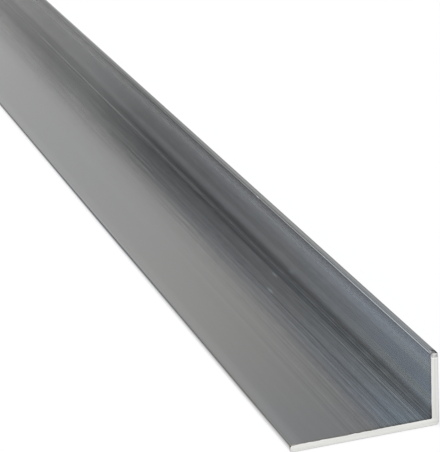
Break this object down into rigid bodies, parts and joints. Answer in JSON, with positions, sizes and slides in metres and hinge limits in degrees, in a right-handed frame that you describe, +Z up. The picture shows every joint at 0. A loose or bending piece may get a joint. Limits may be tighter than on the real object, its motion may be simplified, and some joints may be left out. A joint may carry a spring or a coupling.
{
  "type": "unequal angle section",
  "caption": "Straight sawn length of extruded aluminium angle with a wide and a short leg, for edging, trim and light framing.",
  "frame": {"origin": "middle of the underside of the wide leg", "axes": "+X along the bar, +Y across the wide leg from its toe to the heel where the short leg stands, +Z up the short leg"},
  "size_m": [1, 0.04, 0.02],
  "materials": {
    "mill_aluminium": "mill finish, as extruded"
  },
  "bodies": {
    "root": {"angle_section": "mill_aluminium"}
  },
  "joints": []
}
